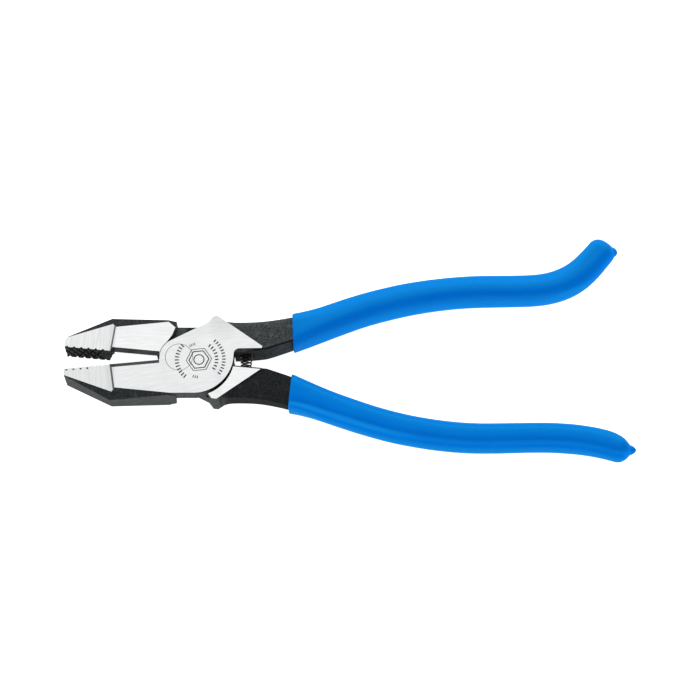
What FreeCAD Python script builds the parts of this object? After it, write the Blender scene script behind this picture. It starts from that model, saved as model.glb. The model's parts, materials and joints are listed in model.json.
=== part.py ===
"""Ironworker's lineman pliers: two forged halves in a lap joint, a rivet, a return spring and two grips.

Millimetres, +Z up. The origin is on the pivot axis, in the plane of the rear faces that the tool lies on.
+X runs from the pivot towards the handles. The jaws point along -X. The hooked handle is on the +Y side.

Each half is drawn closed and with its middle plane at Z = 0, as the half whose lap is in front: its jaw is
on the -Y side and its handle on the +Y side. The other half is the same forging turned half a turn about X.
"""

import FreeCAD
import Part

import math
import os

V = FreeCAD.Vector

# ---- driving dimensions --------------------------------------------------------------------------
HEAD_THICK = 15.9  # joint and blades, over both laps
NOSE_THICK = 14.3  # over the knurled nose, which is ground lower than the blades
WHEEL_EDGE = 1.1  # radius that the grinding wheel leaves at that step
OPEN_HALF = 5.4  # each half's turn from closed to the rest pose, degrees
JAW_LENGTH = 48.4  # pivot to nose tip
STEP_X = -28.3  # where the nose face runs out into the blade face, at the centre plane
STEP_TURN = 3.1  # the step's slant, degrees
BLADE_END = 8.15  # radius of the boss round the rivet, where the blades end
RUN_CLEARANCE = 0.05  # radial, in the turning half's rivet hole
LAP_GAP = 0.05  # between the two laps
BOSS_CLEARANCE = 0.25  # jaw's rear wall round the other half's boss
DISC_CLEARANCE = 0.35  # shoulder wall round the other half's disc, when closed
CAVITY_STEP = 0.2  # the cavity's straight side stands off the shoulder's foot

DISC_CENTRE = (6.0, 0.6)  # the lap's large rear arc
DISC_RADIUS = 16.75
RIVET_SHANK = 4.75
RIVET_HEAD = 5.8
RIVET_SINK = 1.6  # depth of each countersunk head
RIVET_EDGE = 0.12  # small bevel that leaves a hairline round each head

GRIP_FACE = 0.25  # closed jaws: tooth crests to the centre plane
KNURL_PITCH = 3.03  # along the jaw
KNURL_START = 1.2  # nose tip to the first crossing
KNURL_CROSSINGS = 4  # half pitches that a groove shifts from face to face
KNURL_LAST = -33.5  # the grooves' middles stop here, and the heel behind them is smooth
KNURL_FLARE = 1.15  # a groove's half width over its depth
HEEL_X = -29.0  # behind this the grip face gives way to the blade

EDGE_CLEARANCE = 0.03  # closed blades: cutting edge to the centre plane
EDGE_DEPTH = 1.25  # cutting edge below the front face
BEVEL_WIDTH = 1.7  # front bevel, in plan
RELIEF_ANGLE = 20.0  # rear side of the blade, from the cutting edge back
WEB_X = -9.3  # the relief stops at a small web beside the boss
THROAT = (-27.1, -0.6)  # conical relief between the knurl and the blade, wide at the rear
THROAT_REAR = 3.4
THROAT_FRONT = 0.2

SPRING_X = 28.1  # distance of the spring pockets from the pivot
POCKET_RADIUS = 2.8
POCKET_DEPTH = 5.0
HANDLE_INNER = 0.6  # closed, off the centre plane: the pockets' depth is measured from here
WIRE = 0.65
CLOSED_PITCH = 1.04  # of a spring's end turns, in wires
COIL_DIAMETER = 4.2  # to the middle of the wire
COILS = 15
SPRING_END_GAP = 0.26  # its flat ends stand off the pockets' slanting bottoms

GRIP_WALL = 1.2
GRIP_END_WALL = 6.0  # of plastic beyond the steel
GRIP_END_ROUND = 4.6
GRIP_LIP_ROUND = 0.7
DRIP_ROOT = 2.3  # radius where a drip leaves the grip's end
DRIP_TIP = 1.1

HALF = HEAD_THICK / 2
NOSE_HALF = NOSE_THICK / 2
BLADE_START = STEP_X - 0.4  # the cuts between the blades start just inside the nose
LOFT_STEP = 7.5  # between a handle's sections
FAR = 60.0  # larger than anything a cutting tool has to pass through

# Jaw and lap, in plan, closed, with the middle plane at Z = 0.
JAW_INSIDE = V(-25, -5, 0)
RIDGE_DEPTH = 3.3  # the widest bevel's depth, at the corner between nose and blade
WALL_CORNER = (-30.2, -15.0)
TIP_CORNER = (-JAW_LENGTH, -3.3)
BEVEL_SPLIT = -29.0  # the nose's bevel meets the blade's here
BLADE_EDGE = ((-27.8, -10.6), (-5.0, -15.1))  # upper edge of the blade's bevel
JAW_REAR = (-2.9, -15.95)
REAR_WALL = [(-4.0, -9.3), (-2.9, -13.0)]  # from the boss down to the jaw's rear corner
REAR_BEVEL = ((-6.8, -15.4), (-3.2, -12.9))
REAR_BEVEL_DEPTH = 2.6
LAP_BOTTOM = (3.4, -15.85)
LAP_ROOT = (-9.0, -14.2)  # the lap runs into the jaw here

LINE_TURN = 21.7  # direction of the lap's straight edge, degrees
SHOULDER_FOOT = (13.3, 14.05)
SHOULDER_TOP = ((15.5, 16.45), (17.5, 16.5))
PLATEAU_TIP = (34.95, 1.5)  # where the ground face ends on the handle
LAP_INNER = [(34.6, 0.7), (25.0, 1.45)]  # the front plateau's inner edge
LAP_CREASE = ((23.6, 0.9), (22.75, -0.6))  # the round between that edge and the disc
SHOULDER_INNER = [(34.4, 1.45), (21.0, 1.5)]  # the rear plateau's inner edge
SHOULDER_INSIDE = (12.0, 10.0)
SLOPE_RISE = 0.8  # steepness of the plateaus' ends

# Steel along a handle: distance along its centre line, width, thickness, inner and outer corner radius.
TANG_SECTIONS = [
    (0.0, 15.4, 14.7, 1.0, 2.2),
    (8.0, 13.6, 14.7, 1.0, 3.4),
    (18.0, 13.5, 14.6, 1.0, 3.8),
    (24.0, 12.9, 14.1, 1.0, 4.0),
    (30.0, 12.2, 13.4, 1.6, 4.0),
    (34.0, 11.4, 12.5, 3.0, 3.8),
    (40.0, 11.0, 12.0, 3.4, 3.8),
    (46.0, 10.7, 11.7, 3.8, 3.8),
    (64.0, 10.6, 11.4, 4.2, 4.2),
    (97.0, 10.3, 11.2, 4.4, 4.4),
    (125.0, 10.1, 11.1, 4.5, 4.5),
    (150.0, 10.0, 11.0, 4.6, 4.6),
    (172.0, 9.4, 10.4, 4.6, 4.6),
]
# Outside of a dipped grip, in the same way, less its wall.
GRIP_SECTIONS = [
    (24.0, 13.1, 13.6, 2.4, 2.4),
    (30.0, 12.9, 13.0, 2.8, 2.8),
    (34.0, 12.1, 12.5, 3.0, 3.0),
    (40.0, 11.3, 12.0, 3.4, 3.4),
    (46.0, 10.9, 11.7, 3.8, 3.8),
] + TANG_SECTIONS[8:]

# What differs between the halves. Plan points are for the closed tool, with the handle on the +Y side.
HOOK = {
    "line": [  # the handle's centre line, from inside the shoulder to the end of its grip
        (18.0, 7.8), (26.0, 6.9), (36.0, 6.7), (46.0, 7.9), (59.4, 10.7), (75.8, 14.9), (92.4, 17.9),
        (109.1, 19.3), (126.0, 19.2), (142.7, 17.9), (151.1, 17.5), (159.6, 18.3), (167.7, 21.2),
        (174.8, 26.4), (183.5, 35.2),
    ],
    "inner": [(14.0, 0.25), (36.0, 0.0), (51.0, 3.6), (62.0, 4.2)],  # the handle's flat inner side
    "dip": 48.3,  # where the grip starts
    "drip": ((183.0, 31.6), (186.4, 31.5)),  # the drip's root and the centre of its tip
    "tip": (-47.5, -3.9),  # second corner of the nose tip
    "nose_edge": ((-48.4, -3.05), (-30.0, -11.68)),  # upper edge of the nose's bevel
    "knurl_depth": 0.4,
}
STRAIGHT = {
    "line": [
        (18.0, 8.3), (26.0, 7.3), (36.0, 7.2), (46.0, 8.9), (59.8, 12.4), (76.1, 16.6), (92.4, 19.8),
        (109.0, 21.3), (125.6, 21.2), (142.1, 19.5), (158.6, 17.9), (175.1, 18.2), (190.0, 20.8),
    ],
    "inner": [(14.0, 1.3), (37.0, 1.4), (51.0, 4.6), (62.0, 4.6)],
    "dip": 47.3,
    "drip": ((187.4, 20.2), (191.5, 20.0)),
    "tip": (-47.5, -4.7),
    "nose_edge": ((-48.4, -4.05), (-30.0, -11.65)),
    "knurl_depth": 0.6,
}


# ---- small helpers -------------------------------------------------------------------------------
def point(xy, z=0.0):
    return V(xy[0], xy[1], z)


def path_wire(start, steps, z):
    """A closed wire at height z. Each step is the next point, or (point on the arc, next point)."""
    edges = []
    here = start
    for step in steps:
        if isinstance(step[0], tuple):
            edges.append(Part.Arc(point(here, z), point(step[0], z), point(step[1], z)).toShape())
            here = step[1]
        else:
            edges.append(Part.makeLine(point(here, z), point(step, z)))
            here = step
    if math.dist(here, start) > 1e-6:
        edges.append(Part.makeLine(point(here, z), point(start, z)))
    return Part.Wire(edges)


def prism(start, steps, low, high):
    """The solid over a plan outline, from height low to height high."""
    return Part.Face(path_wire(start, steps, low)).extrude(V(0, 0, high - low))


def on_circle(centre, radius, degrees):
    turn = math.radians(degrees)
    return (centre[0] + radius * math.cos(turn), centre[1] + radius * math.sin(turn))


def bearing(centre, xy):
    return math.degrees(math.atan2(xy[1] - centre[1], xy[0] - centre[0]))


def half_space(on_plane, outward):
    """A large block that starts at a plane and lies on its outward side."""
    block = Part.makeBox(4 * FAR, 4 * FAR, 4 * FAR, V(-2 * FAR, -2 * FAR, 0))
    turn = FreeCAD.Rotation(V(0, 0, 1), outward)
    block.Placement = FreeCAD.Placement(on_plane, turn)
    return block


def outward_normal(a, b, c, inside):
    normal = (b - a).cross(c - a).normalize()
    return normal if normal.dot(inside - a) < 0 else -normal


def mirrored_z(p):
    return V(p.x, p.y, -p.z)


# ---- the forged half -----------------------------------------------------------------------------
def jaw_block(half):
    """Nose and blade, full thickness, with the rear wall that the other half's boss turns in."""
    rear = BLADE_END + BOSS_CLEARANCE
    steps = [
        (on_circle((0, 0), rear, 202.5), on_circle((0, 0), rear, 225)),
        *REAR_WALL,
        JAW_REAR,
        WALL_CORNER,
        half["tip"],
        TIP_CORNER,
        (-JAW_LENGTH, -GRIP_FACE),
        (HEEL_X, -GRIP_FACE),
        (HEEL_X, -EDGE_CLEARANCE),
    ]
    block = prism((-rear, -EDGE_CLEARANCE), steps, -HALF, HALF)
    return jaw_bevels(block, half["nose_edge"])


def jaw_bevels(block, nose_edge):
    """The forged bevels along the outer side, on both faces. Nose and blade each have their own plane."""
    split = half_space(V(BEVEL_SPLIT, 0, 0), V(1, 0, 0))
    nose = block.cut(split)
    blade = block.common(split)
    ridge = point(WALL_CORNER, HALF - RIDGE_DEPTH)
    for tool in both_faces(point(nose_edge[0], NOSE_HALF), point(nose_edge[1], NOSE_HALF), ridge):
        nose = nose.cut(tool)
    for tool in both_faces(point(BLADE_EDGE[0], HALF), point(BLADE_EDGE[1], HALF), ridge):
        blade = blade.cut(tool)
    return nose.fuse(blade)


def both_faces(a, b, c):
    """Cutting tools outside the plane through three points, and outside its mirror image."""
    front = half_space(a, outward_normal(a, b, c, JAW_INSIDE))
    low_a, low_b, low_c = mirrored_z(a), mirrored_z(b), mirrored_z(c)
    rear = half_space(low_a, outward_normal(low_a, low_b, low_c, JAW_INSIDE))
    return [front, rear]


def rear_corner_bevels():
    """The blade block's outer rear corner is bevelled on both faces."""
    low = point(JAW_REAR, HALF - REAR_BEVEL_DEPTH)
    return both_faces(point(REAR_BEVEL[0], HALF), point(REAR_BEVEL[1], HALF), low)


def lap_block():
    """The front lap: boss, straight edge, shoulder and the large rear arc."""
    line_start = on_circle((0, 0), BLADE_END, 90 + LINE_TURN)
    line_middle = on_circle((0, 0), BLADE_END, (180 + 90 + LINE_TURN) / 2)
    disc_middle = on_circle(DISC_CENTRE, DISC_RADIUS, -42)
    steps = [
        (line_middle, line_start),
        SHOULDER_FOOT,
        *SHOULDER_TOP,
        PLATEAU_TIP,
        *LAP_INNER,
        LAP_CREASE,
        (disc_middle, LAP_BOTTOM),
        BLADE_EDGE[1],
        LAP_ROOT,
        (LAP_ROOT[0], -EDGE_CLEARANCE),
        (-BLADE_END, -EDGE_CLEARANCE),
    ]
    return prism((-BLADE_END, -EDGE_CLEARANCE), steps, LAP_GAP / 2, HALF)


def shoulder_block():
    """The rear half of the shoulder, behind the lap's plane."""
    steps = [*SHOULDER_TOP, PLATEAU_TIP, *SHOULDER_INNER, SHOULDER_INSIDE]
    return prism(SHOULDER_FOOT, steps, -HALF, LAP_GAP)


def plateau_slopes():
    """The ground faces end in a steep slope down to the handle's forged surface."""
    top = point(SHOULDER_TOP[1], HALF)
    along = (point(PLATEAU_TIP, HALF) - top).normalize()
    normal = V(-along.y, along.x, SLOPE_RISE).normalize()
    return [half_space(top, normal), half_space(mirrored_z(top), mirrored_z(normal))]


def cavity():
    """The room behind the lap in which the other half's lap turns."""
    rear = BLADE_END + BOSS_CLEARANCE
    centre = (DISC_CENTRE[0], -DISC_CENTRE[1])
    radius = DISC_RADIUS + DISC_CLEARANCE
    low = (centre[0] + math.sqrt(radius**2 - (HANDLE_INNER - centre[1]) ** 2), HANDLE_INNER)
    top_x = SHOULDER_FOOT[0] + CAVITY_STEP
    top = (top_x, centre[1] + math.sqrt(radius**2 - (top_x - centre[0]) ** 2))
    middle = on_circle(centre, radius, (bearing(centre, low) + bearing(centre, top)) / 2)
    steps = [
        (on_circle((0, 0), rear, 202.5), on_circle((0, 0), rear, 225)),
        *REAR_WALL,
        (REAR_WALL[1][0], -FAR),
        (low[0], -FAR),
        low,
        (middle, top),
        (top_x, FAR),
        (-rear, FAR),
    ]
    return prism((-rear, 0.0), steps, -FAR, LAP_GAP / 2)


def section_wire(centre, along, width, thick, inner, outer):
    """A rounded rectangle across a handle's centre line, with its inner and outer corner radii."""
    side = V(-along.y, along.x, 0)
    up = V(0, 0, 1)
    corners = []
    for sx, sz, radius in ((1, 1, outer), (-1, 1, inner), (-1, -1, inner), (1, -1, outer)):
        middle = centre + side * (sx * (width / 2 - radius)) + up * (sz * (thick / 2 - radius))
        on_side = middle + side * (sx * radius)
        on_top = middle + up * (sz * radius)
        between = middle + (side * sx + up * sz).normalize() * radius
        first, last = (on_side, on_top) if sx == sz else (on_top, on_side)
        corners.append((first, between, last))
    edges = []
    for (first, between, last), following in zip(corners, corners[1:] + corners[:1]):
        edges.append(Part.Arc(first, between, last).toShape())
        edges.append(Part.makeLine(last, following[0]))
    return Part.Wire(edges)


def interpolated(table, s):
    """A row of values at distance s, straight between the table's rows."""
    for low, high in zip(table, table[1:]):
        if s <= high[0]:
            t = max(0.0, (s - low[0]) / (high[0] - low[0]))
            return [a + t * (b - a) for a, b in zip(low[1:], high[1:])]
    return list(table[-1][1:])


class Handle:
    """A handle's centre line, with points and directions by distance along it."""

    def __init__(self, line):
        self.curve = Part.BSplineCurve()
        self.curve.interpolate([point(p) for p in line])
        self.length = self.curve.length()

    def at(self, s):
        u = self.curve.parameterAtDistance(s, self.curve.FirstParameter)
        return self.curve.value(u), V(*self.curve.tangent(u)[0]).normalize()

    def loft(self, table, end, wall=0.0):
        """A smooth solid through a table's sections, from the line's start to a distance along it."""
        count = round(end / LOFT_STEP)
        wires = []
        for i in range(count + 1):
            s = end * i / count
            width, thick, inner, outer = interpolated(table, s)
            here, along = self.at(s)
            size = (width + 2 * wall, thick + 2 * wall, inner + wall, outer + wall)
            wires.append(section_wire(here, along, *size))
        return Part.makeLoft(wires, True, False)


def tang(half):
    """The handle's steel, which runs on inside the grip. Its inner side is flat as far as the grip."""
    handle = Handle(half["line"])
    steel = handle.loft(TANG_SECTIONS, handle.length - GRIP_END_WALL)
    inner = half["inner"]
    trim = prism(inner[0], inner[1:] + [(inner[-1][0], -FAR), (inner[0][0], -FAR)], -HALF, HALF)
    return steel.cut(trim)


def knurl_grooves(depth):
    """Two crossing families of V grooves in the grip face, which meet at both faces of the nose."""
    lean = KNURL_CROSSINGS * KNURL_PITCH / 2 / NOSE_THICK
    first = -JAW_LENGTH + KNURL_START
    count = int((KNURL_LAST - first) / KNURL_PITCH) + 1
    tools = []
    for k in range(-1, count):
        tools.append(groove(first + k * KNURL_PITCH, lean, depth))
        tools.append(groove(first + k * KNURL_PITCH, -lean, depth))
    return tools


def groove(middle_x, lean, depth):
    """One V groove. lean is its shift along X for each unit of height."""
    above = 0.5
    half_width = KNURL_FLARE * (depth + above)
    top = V(middle_x + lean * NOSE_THICK, -GRIP_FACE, NOSE_THICK)
    root = top - V(0, depth, 0)
    triangle = Part.makePolygon([root, top + V(half_width, above, 0), top + V(-half_width, above, 0), root])
    return Part.Face(triangle).extrude(V(-2 * lean * NOSE_THICK, 0, -2 * NOSE_THICK))


def blade_cuts(front):
    """What is cleared between the blades, so that the edge stands near the tool's front face.

    front is 1 for the half whose own front is the tool's front, and -1 for the half that is turned over."""
    y = -EDGE_CLEARANCE
    clear_y = 5.0
    edge_z = HALF - EDGE_DEPTH
    high = HALF + 1
    bevel = BEVEL_WIDTH * (high - edge_z) / EDGE_DEPTH
    relief = math.tan(math.radians(RELIEF_ANGLE)) * (edge_z + high)
    front_profile = [(y, edge_z), (y - bevel, high), (clear_y, high), (clear_y, edge_z)]
    rear_profile = [(y, edge_z), (clear_y, edge_z), (clear_y, -high), (y - relief, -high)]
    boss_wall = -BLADE_END - BOSS_CLEARANCE
    tools = []
    for profile, end in ((front_profile, boss_wall), (rear_profile, WEB_X)):
        corners = [V(BLADE_START, a, b * front) for a, b in profile]
        wire = Part.makePolygon(corners + corners[:1])
        tools.append(Part.Face(wire).extrude(V(end - BLADE_START, 0, 0)))
    return tools


def throat(front):
    """The conical relief that parts the knurl's heel from the blade."""
    base = V(THROAT[0], THROAT[1], -HALF * front)
    return Part.makeCone(THROAT_REAR, THROAT_FRONT, HEAD_THICK - EDGE_DEPTH, base, V(0, 0, front))


def nose_grinds():
    """The nose is ground lower than the blades, and the wheel leaves a hollow run-out at the step."""
    drop = HALF - NOSE_HALF
    run = math.sqrt(WHEEL_EDGE**2 - (WHEEL_EDGE - drop) ** 2)
    turn = math.asin(run / WHEEL_EDGE) / 2
    start = V(STEP_X - run, -FAR, NOSE_HALF)
    middle = start + V(WHEEL_EDGE * math.sin(turn), 0, WHEEL_EDGE * (1 - math.cos(turn)))
    end = V(STEP_X, -FAR, HALF)
    outer = [end, V(STEP_X, -FAR, FAR), V(-2 * FAR, -FAR, FAR), V(-2 * FAR, -FAR, NOSE_HALF), start]
    edges = [Part.Arc(start, middle, end).toShape()]
    for a, b in zip(outer, outer[1:]):
        edges.append(Part.makeLine(a, b))
    tool = Part.Face(Part.Wire(edges)).extrude(V(0, 2 * FAR, 0))
    tool.rotate(V(0, 0, 0), V(0, 0, 1), STEP_TURN)
    return [tool, tool.mirror(V(0, 0, 0), V(0, 0, 1))]


def rivet_hole(clearance):
    """The hole through one lap, countersunk in the front face."""
    shank = Part.makeCylinder(RIVET_SHANK + clearance, 3 * HALF, V(0, 0, -HALF))
    base = V(0, 0, HALF - RIVET_SINK)
    sink = Part.makeCone(RIVET_SHANK + clearance, RIVET_HEAD + clearance, RIVET_SINK, base, V(0, 0, 1))
    return shank.fuse(sink)


def spring_pocket():
    """The blind hole in the handle's inner side that holds one end of the spring."""
    before = 3.0
    base = V(SPRING_X, HANDLE_INNER - before, 0)
    return Part.makeCylinder(POCKET_RADIUS, POCKET_DEPTH + before, base, V(0, 1, 0))


def forged_half(half, front, hole_clearance):
    """One forging. front is 1 if its own front is the tool's front, and -1 if it is turned over."""
    body = jaw_block(half)
    for tool in rear_corner_bevels():
        body = body.cut(tool)
    head = lap_block().fuse(shoulder_block())
    for tool in plateau_slopes():
        head = head.cut(tool)
    body = body.fuse(head).fuse(tang(half)).cut(cavity())
    tools = blade_cuts(front) + nose_grinds() + knurl_grooves(half["knurl_depth"])
    for tool in tools + [throat(front), rivet_hole(hole_clearance), spring_pocket()]:
        body = body.cut(tool)
    return body.removeSplitter()


# ---- the other pieces ----------------------------------------------------------------------------
def rivet():
    """The joint rivet, hot-closed into both countersinks and ground flush."""
    taper = (RIVET_HEAD - RIVET_SHANK) / RIVET_SINK
    head = [
        (RIVET_SHANK, HALF - RIVET_SINK),
        (RIVET_HEAD - taper * RIVET_EDGE, HALF - RIVET_EDGE),
        (RIVET_HEAD - (1 + taper) * RIVET_EDGE, HALF),
    ]
    profile = [(0, -HALF)] + [(r, -z) for r, z in reversed(head)] + head + [(0, HALF), (0, -HALF)]
    wire = Part.makePolygon([V(r, 0, z) for r, z in profile])
    return Part.Face(wire).revolve(V(0, 0, 0), V(0, 0, 1), 360)


def coil_height(turns, length):
    """Height of the wire's centre after some turns: a closed turn at each end, even pitch between them."""
    closed = WIRE * CLOSED_PITCH
    pitch = (length - 2 * closed) / (COILS - 2)
    if turns < 1:
        return turns * closed
    if turns > COILS - 1:
        return length - (COILS - turns) * closed
    return closed + (turns - 1) * pitch


def return_spring():
    """The compression spring between the handles, as it stands at rest, with its axis along Y."""
    turn = math.radians(OPEN_HALF)
    bottom = HANDLE_INNER + POCKET_DEPTH
    half_length = SPRING_X * math.sin(turn) + bottom * math.cos(turn) - SPRING_END_GAP
    axis_x = SPRING_X * math.cos(turn) - (HANDLE_INNER + POCKET_DEPTH / 2) * math.sin(turn)
    length = 2 * half_length - WIRE
    radius = COIL_DIAMETER / 2
    per_turn = 12
    points = []
    for i in range(COILS * per_turn + 1):
        turns = i / per_turn
        angle = 2 * math.pi * turns
        y = coil_height(turns, length) - length / 2
        points.append(V(axis_x + radius * math.cos(angle), y, radius * math.sin(angle)))
    curve = Part.BSplineCurve()
    curve.interpolate(points)
    start_along = V(*curve.tangent(curve.FirstParameter)[0])
    wire_section = Part.Wire(Part.makeCircle(WIRE / 2, points[0], start_along))
    return Part.Wire(curve.toShape()).makePipeShell([wire_section], True, True)


def end_edges(solid, here, along, reach):
    """The edges of a sleeve's flat end, which all lie in one plane through a point."""
    tolerance = 0.01
    found = []
    for edge in solid.Edges:
        middle = edge.valueAt((edge.FirstParameter + edge.LastParameter) / 2)
        tests = [v.Point for v in edge.Vertexes] + [middle]
        if all(abs((p - here).dot(along)) < tolerance and (p - here).Length < reach for p in tests):
            found.append(edge)
    return found


def grip(half):
    """A dipped plastic sleeve on a tang, with a rounded end and the drip that dipping leaves."""
    handle = Handle(half["line"])
    outer = handle.loft(GRIP_SECTIONS, handle.length, GRIP_WALL)
    dip_point = V(half["dip"], half["line"][3][1], 0)
    outer = outer.cut(half_space(dip_point, V(-1, 0, 0)))
    end, along = handle.at(handle.length)
    reach = 12.0
    outer = outer.makeFillet(GRIP_END_ROUND, end_edges(outer, end, along, reach))
    outer = outer.makeFillet(GRIP_LIP_ROUND, end_edges(outer, dip_point, V(1, 0, 0), reach))
    root = point(half["drip"][0])
    tip = point(half["drip"][1])
    cone = Part.makeCone(DRIP_ROOT, DRIP_TIP, (tip - root).Length, root, (tip - root).normalize())
    ball = Part.makeSphere(DRIP_TIP, tip)
    return outer.fuse(cone).fuse(ball).cut(tang(half)).removeSplitter()


def in_place(shape, turned_over, degrees):
    """Set a closed, middle-plane shape into the rest pose."""
    if turned_over:
        shape = shape.copy()
        shape.rotate(V(0, 0, 0), V(1, 0, 0), 180)
    shape.rotate(V(0, 0, 0), V(0, 0, 1), degrees)
    shape.translate(V(0, 0, HALF))
    return shape


def only_solid(shape):
    """The single solid that a boolean leaves, out of its wrapper."""
    if len(shape.Solids) != 1:
        raise ValueError("expected one solid, got %d" % len(shape.Solids))
    return shape.Solids[0]


def main():
    os.makedirs("parts", exist_ok=True)
    pieces = {
        "hook_half": in_place(forged_half(HOOK, 1, 0.0), False, OPEN_HALF),
        "straight_half": in_place(forged_half(STRAIGHT, -1, RUN_CLEARANCE), True, -OPEN_HALF),
        "pivot_rivet": in_place(rivet(), False, 0.0),
        "return_spring": in_place(return_spring(), False, 0.0),
        "hook_grip": in_place(grip(HOOK), False, OPEN_HALF),
        "straight_grip": in_place(grip(STRAIGHT), True, -OPEN_HALF),
    }
    for name, shape in pieces.items():
        solid = only_solid(shape)
        print(name, solid.isValid(), round(solid.Volume))
        solid.exportStep("parts/%s.step" % name)


main()
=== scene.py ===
"""Looks of the lineman pliers, on a pale floor: blackened and ground steel, dipped grips and a coil spring.

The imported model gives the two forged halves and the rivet. The grips and the spring are built here.
Plan shapes are drawn in millimetres, closed, with the tool's middle plane at z = 0, and then set in place.
"""

import json
import math

import bpy
import numpy as np
from mathutils import Matrix, Vector, noise


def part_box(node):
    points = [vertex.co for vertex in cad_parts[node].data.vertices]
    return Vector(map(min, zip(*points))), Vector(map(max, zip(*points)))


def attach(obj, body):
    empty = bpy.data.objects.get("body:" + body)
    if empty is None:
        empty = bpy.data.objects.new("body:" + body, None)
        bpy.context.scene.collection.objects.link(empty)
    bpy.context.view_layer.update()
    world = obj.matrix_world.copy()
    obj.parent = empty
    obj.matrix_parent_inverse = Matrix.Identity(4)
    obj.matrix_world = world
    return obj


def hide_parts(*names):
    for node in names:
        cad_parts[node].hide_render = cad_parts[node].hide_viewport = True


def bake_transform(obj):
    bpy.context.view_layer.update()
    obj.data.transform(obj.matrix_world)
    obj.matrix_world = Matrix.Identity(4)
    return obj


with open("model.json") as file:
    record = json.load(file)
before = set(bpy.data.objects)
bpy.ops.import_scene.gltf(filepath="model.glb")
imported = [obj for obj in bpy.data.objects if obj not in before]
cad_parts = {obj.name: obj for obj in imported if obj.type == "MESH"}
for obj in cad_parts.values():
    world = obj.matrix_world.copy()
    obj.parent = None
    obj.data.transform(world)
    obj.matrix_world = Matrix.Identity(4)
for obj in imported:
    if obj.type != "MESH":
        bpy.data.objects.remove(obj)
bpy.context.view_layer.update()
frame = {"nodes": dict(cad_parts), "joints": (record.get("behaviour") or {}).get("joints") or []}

MM = 0.001
PIVOT = frame["joints"][0]
OPEN_HALF = math.radians(PIVOT["range_deg"][1]) / 2  # each half's turn from closed to rest
HEAD_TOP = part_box("pivot_rivet")[1].z  # the ground front faces
HALF = HEAD_TOP / 2

# ---- handles and grips, in millimetres ------------------------------------------------------------
# The middle line of each handle in plan, closed.
HOOK_LINE = [
    (18.0, 7.8), (26.0, 6.9), (36.0, 6.7), (46.0, 7.9), (59.4, 10.7), (75.8, 14.9), (92.4, 17.9),
    (109.1, 19.3), (126.0, 19.2), (142.7, 17.9), (151.1, 17.5), (159.6, 18.3), (167.7, 21.2),
    (174.8, 26.4), (183.5, 35.2),
]
STRAIGHT_LINE = [
    (18.0, 8.3), (26.0, 7.3), (36.0, 7.2), (46.0, 8.9), (59.8, 12.4), (76.1, 16.6), (92.4, 19.8),
    (109.0, 21.3), (125.6, 21.2), (142.1, 19.5), (158.6, 17.9), (175.1, 18.2), (190.0, 20.8),
]
# Steel along a handle: distance along its line, width, thickness.
SECTIONS = [
    (24.0, 13.1, 13.6), (30.0, 12.9, 13.0), (34.0, 12.1, 12.5), (40.0, 11.3, 12.0), (46.0, 10.9, 11.7),
    (64.0, 10.6, 11.4), (97.0, 10.3, 11.2), (125.0, 10.1, 11.1), (150.0, 10.0, 11.0), (172.0, 9.4, 10.4),
]
HOOK_DIP = 48.05  # X of the hooked grip's start, closed
HOOK_LEAN = 0.057  # how far that start shifts along X for each unit of Y
STRAIGHT_DIP = 47.3  # X of the straight grip's start, closed
GRIP_WALL = 1.2
# The rounded start lip: offset outside the steel, distance from the dip line.
LIP = [
    (-0.3, 0.7), (-0.05, 0.42), (0.16, 0.16), (0.5, 0.02),
    (0.84, 0.05), (1.08, 0.28), (1.2, 0.7), (1.22, 1.3),
]
LIP_RINGS = 5  # the first of the lip's rings, which stay even
SLANT_LENGTH = 14.0  # over which the rings turn from the dip line to square across the handle
SLANT_POWER = 1.5
RING_STEP = 1.1
RING_POINTS = 80
# Squareness of the section on its outer and inner side: 2 is an ellipse, and more is squarer.
OUTER_POWER = 2.05
INNER_POWER = 2.3
START_POWERS = (1.05, 0.9)  # added to them at the start of a grip
SQUARE_FADE = 9.0  # length in which that falls to about a third
ROLLED_POWER = 0.45  # added to the outer side of a rolled grip
HOOK_ROLL = math.radians(18)  # the hooked grip's section leans outwards
ROLL_FADE = 25.0  # before the grip's end, where the roll fades out
TAPER_LENGTH = 11.0  # before the straight grip's end, where it narrows on its inner side
STRAIGHT_TAPER = 0.5
DOME_LENGTH = 5.2
DOME_RINGS = 28
DOME_POWER = 2.25
DOME_TIP = 0.02  # share of the full size that the last ring keeps
HOOK_DRIP = ((183.0, 31.6), (186.4, 31.5))  # root and tip of the drip at a grip's end
STRAIGHT_DRIP = ((187.4, 20.2), (191.5, 20.0))
DRIP_ROUND = 1.05  # how far the drip goes past its tip point
DRIP_CORE = 0.6  # radius in which the skin's own end is looked up
DRIP_RADIUS = 2.1
DRIP_FLARE = 3.1
DRIP_SHARES = (0.66, 0.34)  # of the round drip and of the flare round it
DRIP_PULL = (6.0, 4.0)  # how far behind the skin's end the pull starts, and how much further it is full
# Unevenness of the dipped skin: size, and how fast it changes along X, Y and Z.
SWELLS = [(0.07, (0.07, 0.16, 0.16)), (0.02, (0.35, 0.5, 0.5))]
SWELL_MIDDLE = 0.05  # taken off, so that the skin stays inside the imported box
SWELL_SHIFT = 40.0  # makes the straight grip's unevenness another one

# ---- return spring, in millimetres ----------------------------------------------------------------
WIRE = 0.6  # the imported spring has 0.65, which as a round wire would touch itself here with the jaws closed
COILS = 15
COIL_RADII = (1.95, 1.95, 2.4, 2.4)  # the spring widens towards the hooked handle
COIL_KNEES = (0.0, 0.35, 0.65, 1.0)  # the shares of its turns where those radii are
CLOSED_SHARE = 0.345  # about the share of its length that the spring loses when the jaws close
POINTS_PER_TURN = 26
WIRE_POINTS = 14

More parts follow.
